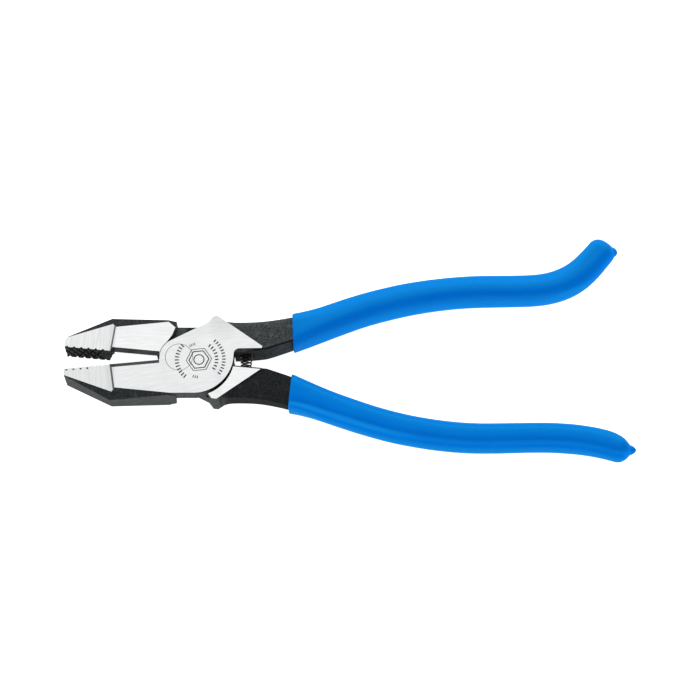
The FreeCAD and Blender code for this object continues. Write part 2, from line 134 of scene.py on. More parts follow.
# ---- stamp, in millimetres ------------------------------------------------------------------------
STAMP_CENTRE = (8.2, -1.9)
STAMP_HEXAGONS = [(3.6, 0.2), (4.6, 0.12)]  # half width across flats, half width of the line
STAMP_CIRCLE = (2.1, 0.2)
STAMP_SOFT = 0.06  # a line's edge fades over twice this
# Arcs of strokes: radius, middle and reach in radians, number of strokes, half height.
STAMP_ROWS = [
    (9.2, math.pi, 0.88, 12, 0.85), (7.4, 0.1, 0.85, 9, 0.7), (10.4, 0.05, 0.82, 13, 0.7),
    (7.0, 1.9, 0.2, 4, 0.55), (7.6, -1.85, 0.17, 3, 0.6),
]

# ---- steel: tones, and the places of the marks in millimetres -------------------------------------
BRIGHT = (0.70, 0.81)  # dark and light brush lines of ground steel
BRIGHT_ROUGH = (0.26, 0.38)
BRUSH_ALONG = (110, 2200, 60)  # noise scales of the brush lines along the tool
BRUSH_ACROSS = (2000, 90, 60)  # and of those across the nose pads
BRUSH_SLANT = 0.12
BRUSH_DEPTH = 0.000008
PAD_STREAKS = (1500, 70, 60)
# Painted shade on the sloped faces of the step between nose pad and blade.
STEP_SHADE = (0.145, 0.165, 0.17, 1.0)
STEP_FROM = 30.2  # the step between nose and blade, from the pivot
STEP_TO = 27.3
STEP_SOFT = 0.2
# Heights from the middle plane between which a mask rises.
HEAD_FACES = (7.55, 7.7)
PAD_BOTTOM = (6.9, 7.0)
PAD_TOP = (7.5, 7.4)
# Painted light and shade: how light each part of the black skin is drawn, on faces that look up (bevel,
# handle) and sideways (jaw_side, side), and how bright the ground faces are, in each half's light.
HOOK_LIT_TONES = {"bevel": 1.6, "jaw_side": 2.7, "handle": 2.75, "side": 2.1, "shine": 0.92}
STRAIGHT_LIT_TONES = {"bevel": 1.4, "jaw_side": 2.9, "handle": 0.95, "side": 0.65, "shine": 0.985}
KNURL_TOP = 0.25  # the grip faces' distance from the middle line
GROOVE_ENDS = [(-47.15, -0.85), (-44.2, -0.88), (-41.25, -0.92), (-38.4, -0.98)]
SHOULDER_PATCH = (19.3, 14.6)
POCKET_X = 28.1
RIDGE_BEND = 36  # X where the inner ridge leaves the X axis
RIDGE_SLOPE = 0.24
SHARP_ANGLE = 28  # degrees, above which an edge is not smoothed
EDGE_ANGLE = 32  # degrees, above which an edge is drawn dark and a little rubbed: painted edge shade with some wear
EDGE_WIDTH = 0.12

# ---- blue dip -------------------------------------------------------------------------------------
BLUES = ((0.001, 0.172, 0.68, 1.0), (0.001, 0.184, 0.71, 1.0))
SPECK_BLUE = (0.0, 0.08, 0.36, 1.0)
GLOSS_TINT = (0.08, 0.82, 0.90, 1.0)
FAR_FROM = (80, 104)  # X in millimetres, between which the far share of a band takes over
# Bands of painted light and shade, by which way the surface faces: colour, where the normal's Y fades them in
# and out, and the share left far from the pivot.
HOOK_LIGHT_BANDS = [
    ((0.004, 0.188, 0.58), (-0.25, 0.1), (1.1, 1.2), 1.0),
    ((0.005, 0.225, 0.68), (-1.2, -1.1), (-0.80, -0.62), 1.0),
]
STRAIGHT_LIGHT_BANDS = [
    ((0.003, 0.190, 0.59), (-0.15, 0.25), (1.1, 1.2), 1.0),
    ((0.005, 0.260, 0.82), (-0.80, -0.64), (-0.52, -0.36), 0.3),
    ((0.004, 0.200, 0.60), (-1.2, -1.1), (-0.94, -0.80), 1.0),
]

# ---- camera and lights, in metres -----------------------------------------------------------------
CAMERA_TILT = math.radians(17.4)  # from straight down
CAMERA_ROLL = math.radians(3.4)
SENSOR = 36.0
FOCAL = 3310.0 / 700 * SENSOR
CAMERA_PLACE = Vector((96.76, -407.99, 1330.07)) * MM
STUDIO_MIDDLE = (0.07, 0.0, 0.0)
# Softboxes: name, place, size, power.
LIGHTS = [
    ("top_light", (-0.02, 0.42, 1.25), (1.5, 1.1), 3.9),
    ("front_light", (0.07, -1.0, 0.55), (1.6, 0.22), 2.6),
    ("back_light", (0.07, 1.0, 0.5), (1.6, 0.6), 9.0),
]
FLOOR_REACH = 3.0
FLOOR_GLOW = 0.95
WORLD_COLOUR = (0.98, 0.99, 0.98, 1.0)
WORLD_POWER = 0.5


# ---- plan lines and tubes -------------------------------------------------------------------------
class PlanLine:
    """A natural cubic spline through points, measured by distance along it."""

    def __init__(self, points):
        self.p = np.array(points, float)
        self.t = np.concatenate([[0.0], np.cumsum(np.linalg.norm(np.diff(self.p, axis=0), axis=1))])
        self.bend = self.second_derivatives()
        self.fine = np.linspace(0.0, self.t[-1], 1600)
        steps = np.linalg.norm(np.diff(self.value(self.fine), axis=0), axis=1)
        self.distance = np.concatenate([[0.0], np.cumsum(steps)])
        self.length = self.distance[-1]

    def second_derivatives(self):
        """The spline's second derivatives at its points, 0 at both ends."""
        count = len(self.t)
        h = np.diff(self.t)
        slope = np.diff(self.p, axis=0) / h[:, None]
        matrix = np.eye(count)
        right = np.zeros((count, 2))
        for i in range(1, count - 1):
            matrix[i, i - 1:i + 2] = (h[i - 1], 2 * (h[i - 1] + h[i]), h[i])
            right[i] = 6 * (slope[i] - slope[i - 1])
        return np.linalg.solve(matrix, right)

    def value(self, t):
        """The points at parameters t."""
        t = np.atleast_1d(t)
        i = np.clip(np.searchsorted(self.t, t) - 1, 0, len(self.t) - 2)
        h = (self.t[i + 1] - self.t[i])[:, None]
        a = (self.t[i + 1] - t)[:, None] / h
        b = 1 - a
        cubic = (a**3 - a) * self.bend[i] + (b**3 - b) * self.bend[i + 1]
        return a * self.p[i] + b * self.p[i + 1] + cubic * h**2 / 6

    def at(self, s):
        """The point at distance s, and the direction there."""
        t = np.interp(s, self.distance, self.fine)
        step = 0.05
        t = min(max(t, step), self.t[-1] - step)
        before, here, after = self.value(np.array([t - step, t, t + step]))
        along = (after - before) / np.linalg.norm(after - before)
        return here, along

    def distance_at_x(self, x):
        return float(np.interp(x, self.value(self.fine)[:, 0], self.distance))


def placed(points, turned_over, turn):
    """Closed, middle-plane millimetres to rest-pose metres in the shared frame."""
    moved = np.array(points, float) * MM
    if turned_over:
        moved[:, 1:] *= -1
    c, s = math.cos(turn), math.sin(turn)
    x = moved[:, 0] * c - moved[:, 1] * s
    y = moved[:, 0] * s + moved[:, 1] * c
    return np.stack([x, y, moved[:, 2] + HALF], axis=1)


def tube_mesh(name, rings, turned_over=False, turn=0.0):
    """A closed tube of quads through rings of equally many points."""
    count = len(rings[0])
    points = placed(np.concatenate(rings), turned_over, turn)
    faces = []
    for j in range(len(rings) - 1):
        for k in range(count):
            n = (k + 1) % count
            faces.append((j * count + k, j * count + n, (j + 1) * count + n, (j + 1) * count + k))
    faces.append(tuple(reversed(range(count))))
    faces.append(tuple((len(rings) - 1) * count + k for k in range(count)))
    mesh = bpy.data.meshes.new(name)
    mesh.from_pydata([tuple(p) for p in points], [], faces)
    mesh.polygons.foreach_set("use_smooth", [True] * len(faces))
    mesh.update()
    return linked(name, mesh)


def linked(name, data):
    """A new object in the scene."""
    piece = bpy.data.objects.new(name, data)
    bpy.context.scene.collection.objects.link(piece)
    return piece


# ---- dipped grips ---------------------------------------------------------------------------------
def oval(a, b, outer_power, inner_power):
    """A rounded-rectangle ring of half sizes a and b."""
    angles = np.linspace(0, 2 * math.pi, RING_POINTS, endpoint=False)
    c, s = np.cos(angles), np.sin(angles)
    power = outer_power + (inner_power - outer_power) * np.clip(0.5 - c, 0, 1)
    across = a * np.sign(c) * np.abs(c) ** (2 / power)
    up = b * np.sign(s) * np.abs(s) ** (2 / power)
    return across, up


def grip_stations(line, dip_line):
    """Each ring's distance along the handle, offset outside the steel and share of its full size."""
    start = line.distance_at_x(dip_line)
    stations = [(start + along, offset, 1.0) for offset, along in LIP]
    lip_end = stations[-1][0]
    body_end = line.length - DOME_LENGTH
    count = int((body_end - lip_end) / RING_STEP)
    for i in range(1, count + 1):
        stations.append((lip_end + (body_end - lip_end) * i / count, GRIP_WALL, 1.0))
    for i in range(1, DOME_RINGS + 1):
        reach = math.sin(i / DOME_RINGS * math.pi / 2)
        share = max(1 - reach**DOME_POWER, 0.0) ** (1 / DOME_POWER)
        stations.append((body_end + DOME_LENGTH * reach, GRIP_WALL, max(share, DOME_TIP)))
    return start, stations


def grip_section(line, start, station, inner_taper, roll):
    """The outline at a station, as distances across the handle and up."""
    s, offset, share = station
    table = np.array(SECTIONS)
    a = (np.interp(s, table[:, 0], table[:, 1]) / 2 + offset) * share
    b = (np.interp(s, table[:, 0], table[:, 2]) / 2 + offset) * share
    square = math.exp(-(s - start) / SQUARE_FADE)
    flat = ROLLED_POWER if roll else 0.0
    outer_power = OUTER_POWER + flat + (START_POWERS[0] - flat) * square
    across, up = oval(a, b, outer_power, INNER_POWER + START_POWERS[1] * square)
    rolled = roll * (1 - square) * min(1.0, max(0.0, line.length - s) / ROLL_FADE)
    across, up = (across * math.cos(rolled) + up * math.sin(rolled),
                  up * math.cos(rolled) - across * math.sin(rolled))
    taper = max(0.0, 1 - (line.length - s) / TAPER_LENGTH)
    return np.where(across < 0, across * (1 - inner_taper * taper**2), across), up


def with_drip(rings, drip):
    """Draws the end out into the blunt drip that hardens where the dip runs off."""
    root = np.array([*drip[0], 0.0])
    tip = np.array([*drip[1], 0.0])
    way = (tip - root) / np.linalg.norm(tip - root)
    rel = np.array(rings) - root
    ahead = rel @ way
    away = np.linalg.norm(rel - ahead[..., None] * way, axis=-1)
    surface = ahead[away < DRIP_CORE].max()
    length = np.linalg.norm(tip - root) + DRIP_ROUND - surface
    facing = np.clip((ahead - surface + DRIP_PULL[0]) / DRIP_PULL[1], 0, 1)
    blob = np.sqrt(np.clip(1 - (away / DRIP_RADIUS) ** 2, 0, 1))
    flare = np.exp(-(away / DRIP_FLARE) ** 2)
    push = length * (DRIP_SHARES[0] * blob + DRIP_SHARES[1] * flare) * facing
    return root + rel + push[..., None] * way


def uneven(ring, index, turned_over):
    """Dipped skin is never quite even: this swells and thins it by less than 0.15 mm."""
    if index < LIP_RINGS:
        return ring
    centre = ring.mean(axis=0)
    shift = SWELL_SHIFT if turned_over else 0.0
    moved = ring.copy()
    for k, p in enumerate(ring):
        out = p - centre
        size = np.linalg.norm(out)
        if size < 1e-6:
            continue
        swell = 0.0
        for height, rate in SWELLS:
            swell += height * noise.noise(Vector((p[0] * rate[0] + shift, p[1] * rate[1], p[2] * rate[2])))
        moved[k] = p + out / size * (swell - SWELL_MIDDLE)
    return moved


def grip(name, line_points, dip_line, lean, drip, inner_taper, roll, turned_over, turn):
    """A dipped grip in one tube, from its start lip to its drip."""
    line = PlanLine(line_points)
    start, stations = grip_stations(line, dip_line)
    first_point, _ = line.at(start)
    rings = []
    for station in stations:
        s = station[0]
        centre, along = line.at(s)
        centre = centre + along * max(0.0, s - line.length)
        side = np.array([-along[1], along[0]])
        across, up = grip_section(line, start, station, inner_taper, roll)
        ring = np.zeros((RING_POINTS, 3))
        ring[:, :2] = centre + across[:, None] * side
        ring[:, 2] = up
        since = s - start
        slant = max(0.0, 1 - since / SLANT_LENGTH)
        wanted = first_point[0] + lean * (ring[:, 1] - first_point[1]) + since * along[0]
        shift = (wanted - ring[:, 0]) / along[0] * slant**SLANT_POWER
        ring[:, :2] += shift[:, None] * along
        rings.append(ring)
    rings = with_drip(rings, drip)
    rings = [uneven(ring, i, turned_over) for i, ring in enumerate(rings)]
    return tube_mesh(name, rings, turned_over, turn)


# ---- return spring --------------------------------------------------------------------------------
def spring_heights(count, length):
    """Wire heights along the coil. The pitch is widest in the middle, where closing squeezes it most."""
    t = np.linspace(0, 1, count)
    pitch = 1 / (1 - CLOSED_SHARE * 6 * t * (1 - t))
    height = np.concatenate([[0.0], np.cumsum((pitch[1:] + pitch[:-1]) / 2)])
    return (height / height[-1] - 0.5) * length


def spring():
    """A wound wire between the two handles, as long as the imported spring."""
    low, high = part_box("return_spring")
    centre = (low + high) / 2 / MM
    length = (high.y - low.y) / MM - WIRE
    count = COILS * POINTS_PER_TURN + 1
    y = spring_heights(count, length)
    angle = np.linspace(0, 2 * math.pi * COILS, count)
    radius = np.interp(np.linspace(0, 1, count), COIL_KNEES, COIL_RADII)
    path = np.stack([centre.x + radius * np.cos(angle), y, radius * np.sin(angle)], axis=1)
    around = np.linspace(0, 2 * math.pi, WIRE_POINTS, endpoint=False)
    rings = []
    for i in range(count):
        before, after = path[max(i - 1, 0)], path[min(i + 1, count - 1)]
        along = (after - before) / np.linalg.norm(after - before)
        out = np.array([math.cos(angle[i]), 0.0, math.sin(angle[i])])
        side = np.cross(along, out)
        circle = np.cos(around)[:, None] * out + np.sin(around)[:, None] * side
        rings.append(path[i] + circle * WIRE / 2)
    piece = tube_mesh("coil_spring", rings)
    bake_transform(piece)
    return piece


# ---- material helpers -----------------------------------------------------------------------------
class Tree:
    """A material's node tree, built by short calls."""

    def __init__(self, name):
        self.material = bpy.data.materials.new(name)
        self.material.use_nodes = True
        self.tree = self.material.node_tree
        self.tree.nodes.clear()
        self.shader = self.node("ShaderNodeBsdfPrincipled")
        output = self.node("ShaderNodeOutputMaterial")
        self.tree.links.new(self.shader.outputs[0], output.inputs["Surface"])
        self.place = self.node("ShaderNodeTexCoord").outputs

    def node(self, kind, **settings):
        made = self.tree.nodes.new(kind)
        for key, value in settings.items():
            setattr(made, key, value)
        return made

    def feed(self, socket, value):
        """Links a socket to another one, or sets it to a constant."""
        if isinstance(value, bpy.types.NodeSocket):
            self.tree.links.new(value, socket)
        else:
            socket.default_value = value

    def finish(self, **inputs):
        """Feeds the shader's inputs, which are named with _ for a space, and gives the material."""
        for name, value in inputs.items():
            self.feed(self.shader.inputs[name.replace("_", " ")], value)
        return self.material

    def math(self, operation, a, b=0.0, c=0.0):
        made = self.node("ShaderNodeMath", operation=operation)
        for socket, value in zip(made.inputs, (a, b, c)):
            self.feed(socket, value)
        return made.outputs[0]

    def product(self, first, *others):
        for other in others:
            first = self.math("MULTIPLY", first, other)
        return first

    def opposite(self, mask):
        return self.math("SUBTRACT", 1.0, mask)

    def away(self, a, b, centre):
        """The distance of (a, b) from a centre."""
        da = self.math("SUBTRACT", a, centre[0])
        db = self.math("SUBTRACT", b, centre[1])
        square = self.math("ADD", self.math("MULTIPLY", da, da), self.math("MULTIPLY", db, db))
        return self.math("SQRT", square)

    def step(self, value, low, high):
        """0 below low and 1 above high, smooth between; low may be the larger."""
        made = self.node("ShaderNodeMapRange", interpolation_type="SMOOTHSTEP")
        self.feed(made.inputs["Value"], value)
        flip = low > high
        made.inputs["From Min"].default_value = high if flip else low
        made.inputs["From Max"].default_value = low if flip else high
        made.inputs["To Min"].default_value = 1.0 if flip else 0.0
        made.inputs["To Max"].default_value = 0.0 if flip else 1.0
        return made.outputs[0]

    def step_mm(self, value, low, high):
        """A step of a value in metres, between limits in millimetres."""
        return self.step(value, low * MM, high * MM)

    def band_mm(self, value, rise, fall):
        """1 from the end of the rise to the start of the fall, both in millimetres."""
        return self.product(self.step_mm(value, *rise), self.step_mm(value, *reversed(fall)))

    def turned(self, vector, turn):
        """A vector turned about Z."""
        made = self.node("ShaderNodeVectorRotate", rotation_type="Z_AXIS")
        self.feed(made.inputs["Vector"], vector)
        made.inputs["Angle"].default_value = turn
        return made.outputs[0]

    def scaled(self, scale, turn=0.0):
        """Object coordinates, turned about Z and then scaled."""
        mapping = self.node("ShaderNodeMapping", vector_type="POINT")
        self.feed(mapping.inputs["Vector"], self.turned(self.place["Object"], turn))
        mapping.inputs["Scale"].default_value = scale
        return mapping.outputs[0]

    def parts(self, vector):
        """The X, Y and Z of a vector."""
        made = self.node("ShaderNodeSeparateXYZ")
        self.feed(made.inputs[0], vector)
        return made.outputs

    def noise(self, scale, detail=2.0, roughness=0.5, turn=0.0):
        scale = scale if isinstance(scale, tuple) else (scale, scale, scale)
        made = self.node("ShaderNodeTexNoise")
        self.feed(made.inputs["Vector"], self.scaled(scale, turn))
        made.inputs["Scale"].default_value = 1.0
        made.inputs["Detail"].default_value = detail
        made.inputs["Roughness"].default_value = roughness
        return made.outputs["Fac"]

    def mix(self, share, a, b, kind="RGBA"):
        """Colour a where the share is 0, and b where it is 1."""
        made = self.node("ShaderNodeMix", data_type=kind)
        self.feed(made.inputs["Factor"], share)
        self.feed(made.inputs["A"], a)
        self.feed(made.inputs["B"], b)
        return made.outputs["Result"]

    def mix_value(self, share, a, b):
        return self.mix(share, a, b, "FLOAT")

    def bump(self, height, distance, strength=1.0, below=None):
        made = self.node("ShaderNodeBump")
        self.feed(made.inputs["Height"], height)
        made.inputs["Distance"].default_value = distance
        self.feed(made.inputs["Strength"], strength)
        if below is not None:
            self.feed(made.inputs["Normal"], below)
        return made.outputs[0]


def grey(value):
    return (value, value * 1.005, value * 1.015, 1.0)


def oxide(value):
    """The cool tint of blackened steel."""
    return (0.89 * value, value, 1.03 * value, 1.0)


# ---- steel ----------------------------------------------------------------------------------------
def ground_mask(t, turn):
    """Masks of the bright faces, of the nose pads with the step, and of the step's slopes; |normal Z|."""
    x, _, z = t.parts(t.scaled((1, 1, 1), -turn))
    normal = t.parts(t.turned(t.place["Normal"], -turn))
    facing = t.math("ABSOLUTE", normal[2])
    height = t.math("ABSOLUTE", t.math("SUBTRACT", z, HALF))
    head = t.step_mm(height, *HEAD_FACES)
    low = t.product(t.step_mm(height, *PAD_BOTTOM), t.step_mm(x, -20, -21))
    pad = t.product(low, t.step_mm(height, *PAD_TOP))
    across = t.band_mm(x, (-STEP_FROM, STEP_SOFT - STEP_FROM), (-STEP_SOFT - STEP_TO, -STEP_TO))
    square = t.step(t.math("ABSOLUTE", normal[1]), 0.25, 0.15)
    step = t.product(across, t.product(low, square), t.step(facing, 0.25, 0.35))
    ground = t.product(t.step(facing, 0.965, 0.99), t.math("MAXIMUM", head, pad))
    slope = t.product(step, t.step(facing, 0.985, 0.95))
    return t.math("MAXIMUM", ground, step), t.math("MAXIMUM", pad, step), slope, facing


def brush_lines(t, turn):
    return t.noise(BRUSH_ALONG, 4.0, 0.65, -turn - BRUSH_SLANT)


def brushed(t, lines, shine):
    """Ground steel with its brush lines."""
    return t.mix(t.step(lines, 0.3, 0.7), *(grey(shine * value) for value in BRIGHT))


def bright_colour(t, lines, shine, pad, x, turn):
    """Ground steel with faint clouds, and nose pads that are streakier and greyer, with painted shade on the
    pads next to the step.
    """
    cloud = t.noise(110.0, 3.0)
    streaks = t.noise(PAD_STREAKS, 4.0, 0.65, -turn)
    bright = brushed(t, lines, shine)
    bright = t.mix(t.product(t.step(cloud, 0.5, 0.75), 0.5), bright, grey(0.92 * shine * BRIGHT[0]))
    streaky = t.product(pad, t.mix_value(t.step(streaks, 0.35, 0.7), 0.1, 0.6))
    bright = t.mix(streaky, bright, grey(0.54))
    # Painted shade on the pad next to the step.
    return t.mix(t.product(pad, t.step_mm(x, -33, -29), 0.2), bright, grey(0.36))


def skin_colour(t, grain, patches, tone):
    """The blackened skin, a little lighter in patches."""
    dark = t.mix(t.step(grain, 0.3, 0.75), oxide(0.010 * tone), oxide(0.034 * tone))
    return t.mix(t.product(t.step(patches, 0.52, 0.72), 0.5), dark, oxide(0.050 * tone))


def knurl_colour(t, x, y, dark):
    """The grip faces: blackest in the grooves, as painted shade, and a little lighter between them."""
    depth = t.math("ABSOLUTE", y)
    face = t.product(t.step_mm(depth, 1.3, 1.1), t.step_mm(x, -28.2, -28.6))
    # Painted shade: the deeper the groove, the nearer black.
    knurl = t.mix(t.step_mm(depth, KNURL_TOP, KNURL_TOP + 0.3), oxide(0.042), grey(0.003))
    return t.mix(t.product(face, 0.85), dark, knurl)


def spots(t, x, y):
    """Dark dots at the ends of the first grooves, along the pad's edge."""
    spot = 0.0
    for spot_x, spot_y in GROOVE_ENDS:
        away = t.away(x, y, (spot_x * MM, spot_y * MM))
        spot = t.math("MAXIMUM", spot, t.step_mm(away, 0.5, 0.34))
    return spot


def shoulder_patch(t, x, y):
    """A greyer patch on the shoulder, beside the handle."""
    away = t.away(x, y, (SHOULDER_PATCH[0] * MM, SHOULDER_PATCH[1] * MM))
    uneven_grey = t.mix_value(t.noise((300, 900, 60), 3.0, 0.6), 0.1, 0.9)
    return t.product(t.step_mm(away, 11.0, 0.5), uneven_grey)


def inner_ridge(t, x, y):
    """1 along the hooked handle's inner edge, which is drawn blackest."""
    edge = t.product(t.math("MAXIMUM", t.math("SUBTRACT", x, RIDGE_BEND * MM), 0.0), RIDGE_SLOPE)
    above = t.math("SUBTRACT", y, edge)
    return t.product(t.step_mm(above, 1.1, 0.6), t.step_mm(x, 27, 33))


def blade_bevels(t, x, y):
    """1 on the narrow bevels either side of the cutting edges, which are drawn a little lighter."""
    along = t.band_mm(x, (-27.5, -26.5), (-9, -8))
    return t.product(along, t.step_mm(t.math("ABSOLUTE", y), 2.6, 2.3))


def lap_shelf(t, x, y):
    """1 on the rear lap's edge beyond the front lap, which lies in shade under the front lap and is drawn a
    little lighter as painted light.
    """
    return t.product(t.step_mm(y, 8, 10), t.band_mm(x, (-15, -13), (0, 2)))


def black_rim(t, x, y):
    """1 on the strip of the straight half's head that stays black."""
    return t.product(t.step_mm(y, -2.0, -1.85), t.step_mm(x, 15, 16))


def pocket_ring(t, x, y, z):
    """A dark ring round the mouth of the spring's pocket."""
    away = t.away(x, z, (POCKET_X * MM, HALF))
    return t.product(t.band_mm(away, (2.6, 2.7), (3.1, 3.25)), t.step_mm(t.math("ABSOLUTE", y), 2.6, 2.4))


def black_skin(t, place, facing, grain, patches, along, lit_tones, marked):
    """The blackened skin, with the marks that are drawn on it, and tones per part and facing that are painted
    light and shade.
    """
    x, y, z = place
    jaw_side, bevel, side, handle = (
        skin_colour(t, grain, patches, lit_tones[part]) for part in ("jaw_side", "bevel", "side", "handle"))
    jaw_side = t.mix(0.5, jaw_side, oxide(0.024 * lit_tones["jaw_side"]))
    # Painted light and shade: faces that look up take the bevel and handle tones, and faces that look
    # sideways take the lighter jaw_side and side tones.
    flat = t.step(facing, 0.4, 0.7)
    dark = t.mix(t.step_mm(x, 17, 23), t.mix(flat, jaw_side, bevel), t.mix(flat, side, handle))
    dark = knurl_colour(t, x, y, dark)
    lighter = t.mix(t.step(along, 0.35, 0.65), oxide(0.05), oxide(0.11))
    dark = t.mix(t.product(blade_bevels(t, x, y), 0.8), dark, lighter)
    dark = t.mix(pocket_ring(t, x, y, z), dark, grey(0.002))
    if marked:
        ridge = t.product(inner_ridge(t, x, y), t.step(facing, 0.6, 0.8), 0.85)
        return t.mix(ridge, dark, grey(0.003))
    # Painted light: the rear lap's edge under the front lap is drawn lighter.
    shelf = t.product(lap_shelf(t, x, y), t.step(facing, 0.8, 0.95), 0.8)
    return t.mix(shelf, dark, oxide(0.12))


def bright_faces(t, place, pad, slope, lines, lit_tones, turn, marked):
    """The ground faces, with the marks that are drawn on them."""
    x, y, _ = place
    bright = bright_colour(t, lines, lit_tones["shine"], pad, x, turn)
    # Painted shade: the step's sloped faces are drawn darker.
    bright = t.mix(t.product(slope, 0.8), bright, STEP_SHADE)
    if marked:
        # The greyer patch on the shoulder, beside the handle.
        bright = t.mix(t.product(shoulder_patch(t, x, y), 0.6), bright, grey(0.34))
        bright = t.mix(t.product(spots(t, x, y), pad), bright, grey(0.01))
    return bright


def steel(name, turn, lit_tones, marked):
    """A forging: blackened skin with forge grain, and ground faces. The marked half carries the stamp."""
    t = Tree(name)
    place = tuple(t.parts(t.scaled((1, 1, 1), -turn)))
    ground, pad, slope, facing = ground_mask(t, turn)
    if not marked:
        ground = t.product(ground, t.opposite(black_rim(t, place[0], place[1])))
    along = brush_lines(t, turn)
    lines = t.mix_value(pad, along, t.noise(BRUSH_ACROSS, 4.0, 0.65, -turn))
    grain = t.noise(1500.0, 3.0, 0.65)
    patches = t.noise(260.0, 4.0, 0.65)
    bright = bright_faces(t, place, pad, slope, lines, lit_tones, turn, marked)
    dark = black_skin(t, place, facing, grain, patches, along, lit_tones, marked)
    colour = t.mix(ground, dark, bright)
    roughness = t.mix_value(ground, t.mix_value(grain, 0.42, 0.58), t.mix_value(lines, *BRIGHT_ROUGH))
    skin = t.bump(grain, 0.00012, t.opposite(ground))
    skin = t.bump(patches, 0.0004, t.product(t.opposite(ground), 0.5), skin)
    surface = (colour, roughness, ground, t.bump(lines, BRUSH_DEPTH, ground, skin))
    if marked:
        surface = stamped(t, t.product(stamp(t, turn), ground), *surface)
    colour, roughness, metallic, normal = surface
    return t.finish(Base_Color=colour, Roughness=roughness, Metallic=metallic, IOR=1.05, Normal=normal)


def ring_of(t, distance, middle, half_width):
    """1 within half a width of a middle distance."""
    off = t.math("ABSOLUTE", t.math("SUBTRACT", distance, middle))
    return t.step(off, half_width + STAMP_SOFT, half_width - STAMP_SOFT)


def stroke_row(t, radius, angle, row_radius, middle, reach, strokes, half_height):
    """An arc of short strokes."""
    off_middle = t.math("WRAP", t.math("SUBTRACT", angle, middle), math.pi, -math.pi)
    pitch = 2 * reach / strokes
    stroke = t.math("PINGPONG", t.math("ADD", off_middle, reach), pitch / 2)
    dash = t.step(stroke, 0.28 * pitch, 0.34 * pitch)
    within = t.step(t.math("ABSOLUTE", off_middle), reach + 0.01, reach)
    return t.product(ring_of(t, radius, row_radius, half_height), t.product(dash, within))


def stamp(t, turn):
    """A plain geometric stamp over lap and rivet: hexagons round a circle, between arcs of short strokes."""
    x, y, z = t.parts(t.scaled((1000, 1000, 1000), -turn))
    x = t.math("SUBTRACT", x, STAMP_CENTRE[0])
    y = t.math("SUBTRACT", y, STAMP_CENTRE[1])
    radius = t.away(x, y, (0.0, 0.0))
    angle = t.math("ARCTAN2", y, x)
    front = t.step(z, HALF / MM, HALF / MM + 1)
    sector = t.math("PINGPONG", t.math("ADD", angle, 8 * math.pi), math.pi / 6)
    hexagon = t.product(radius, t.math("COSINE", t.math("SUBTRACT", math.pi / 6, sector)))
    marks = ring_of(t, radius, *STAMP_CIRCLE)
    for outline in STAMP_HEXAGONS:
        marks = t.math("MAXIMUM", marks, ring_of(t, hexagon, *outline))
    for row in STAMP_ROWS:
        marks = t.math("MAXIMUM", marks, stroke_row(t, radius, angle, *row))
    return t.product(marks, front)


def stamped(t, mark, colour, roughness, metallic, normal):
    """A surface's colour, roughness, metal and normal with the stamp in it."""
    return (
        t.mix(mark, colour, grey(0.05)),
        t.mix_value(mark, roughness, 0.6),
        t.mix_value(mark, metallic, 0.2),
        t.bump(t.opposite(mark), 0.00015, 1.0, normal),
    )


def rubbed_shaded_edge(name):
    """Edges: black skin, a little rubbed, drawn dark as painted edge shade."""
    t = Tree(name)
    grain = t.noise(900.0, 3.0, 0.6)
    colour = t.mix(t.step(grain, 0.4, 0.75), grey(0.025), grey(0.12))
    return t.finish(Base_Color=colour, Roughness=t.mix_value(grain, 0.4, 0.5), Metallic=0.5, IOR=1.1)


def rivet_steel():
    """The rivet's ground heads, which the stamp runs across."""
    t = Tree("rivet_steel")
    lines = brush_lines(t, OPEN_HALF)
    z = t.parts(t.place["Normal"])[2]
    face = t.step(t.math("ABSOLUTE", z), 0.9, 0.99)
    colour = t.mix(face, grey(0.5), brushed(t, lines, HOOK_LIT_TONES["shine"]))
    mark = t.product(stamp(t, OPEN_HALF), face)
    rough = t.mix_value(lines, *BRIGHT_ROUGH)
    colour, roughness, metallic, normal = stamped(t, mark, colour, rough, 1.0, t.bump(lines, BRUSH_DEPTH))
    return t.finish(Base_Color=colour, Roughness=roughness, Metallic=metallic, Normal=normal)


def spring_steel():
    t = Tree("spring_steel")
    grain = t.noise(1200.0, 2.0)
    colour = t.mix(grain, grey(0.02), grey(0.06))
    return t.finish(Base_Color=colour, Roughness=t.mix_value(grain, 0.35, 0.5), Metallic=0.7, IOR=1.1)


# ---- blue dip -------------------------------------------------------------------------------------
def blue_dip(name, light_bands):
    """Soft dipped plastic: satin blue with painted light and shade in bands along the grip, by which way the
    surface faces, and a faint orange-peel skin.
    """
    t = Tree(name)
    cloud = t.noise(70.0, 3.0)
    peel = t.noise(650.0, 2.0, 0.5)
    speck = t.noise(2200.0, 2.0, 0.6)
    x = t.parts(t.place["Object"])[0]
    across = t.parts(t.place["Normal"])[1]
    blue = t.mix(t.step(cloud, 0.3, 0.7), *BLUES)
    # Painted light and shade: each band tints the blue where the normal's Y lies in its range.
    for colour, (fade_in, full), (still_full, fade_out), far_share in light_bands:
        band = t.product(t.step(across, fade_in, full), t.step(across, fade_out, still_full))
        band = t.product(band, t.mix_value(t.step_mm(x, *FAR_FROM), 1.0, far_share))
        blue = t.mix(band, blue, (*colour, 1.0))
    blue = t.mix(t.product(t.step(speck, 0.6, 0.8), 0.15), blue, SPECK_BLUE)
    normal = t.bump(speck, 0.00002, 1.0, t.bump(peel, 0.00006))
    rough = t.mix_value(peel, 0.34, 0.40)
    return t.finish(
        Base_Color=blue, Roughness=rough, IOR=1.04, Metallic=0.15, Specular_Tint=GLOSS_TINT, Normal=normal)


# ---- pieces ---------------------------------------------------------------------------------------
def smooth_by_angle(piece):
    piece.data.polygons.foreach_set("use_smooth", [True] * len(piece.data.polygons))
    piece.data.set_sharp_from_angle(angle=math.radians(SHARP_ANGLE))


